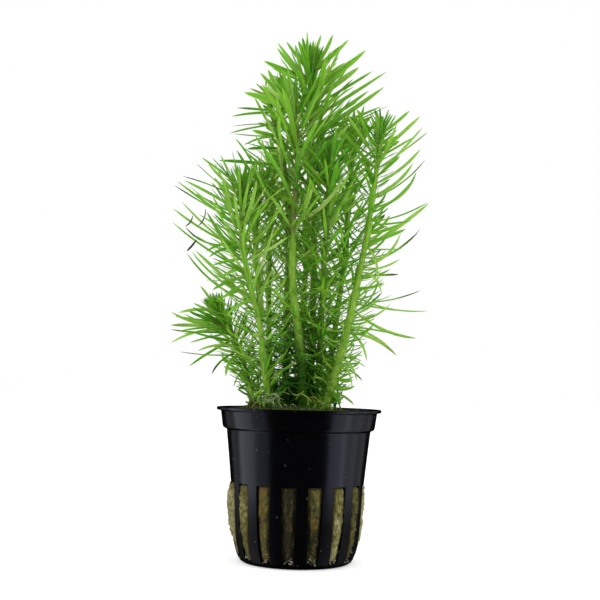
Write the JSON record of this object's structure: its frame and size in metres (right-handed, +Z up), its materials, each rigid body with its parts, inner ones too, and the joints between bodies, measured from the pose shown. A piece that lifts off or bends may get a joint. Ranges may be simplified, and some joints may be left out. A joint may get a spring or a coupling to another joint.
{
  "type": "potted aquarium stem plant",
  "caption": "Bushy submersed stem plant with whorls of narrow bright green leaves, rooted in a rockwool plug in a small glossy black slotted basket pot.",
  "frame": {"origin": "middle of the pot's flat underside", "axes": "+Z up, along the pot's own axis; -Y towards the side that the picture shows; +X to the picture's right"},
  "size_m": [0.0915, 0.0712, 0.179],
  "materials": {
    "black_plastic": "gloss",
    "rockwool": "matte",
    "stem": "satin",
    "leaf": "satin"
  },
  "bodies": {
    "root": {"pot": "black_plastic", "rockwool_plug": "rockwool", "stem_centre": "stem", "stem_tall": "stem", "stem_left_centre": "stem", "stem_left": "stem", "stem_left_branch": "stem", "stem_right": "stem", "stem_low_left": "stem", "stem_front_right": "stem", "stem_back_right": "stem", "stem_back_left": "stem", "stem_back": "stem", "leaves_centre": "leaf", "leaves_tall": "leaf", "leaves_left_centre": "leaf", "leaves_left": "leaf", "leaves_left_branch": "leaf", "leaves_left_foot": "leaf", "leaves_right": "leaf", "leaves_low_left": "leaf", "leaves_front_right": "leaf", "leaves_back_right": "leaf", "leaves_back_left": "leaf", "leaves_back": "leaf"}
  },
  "joints": []
}
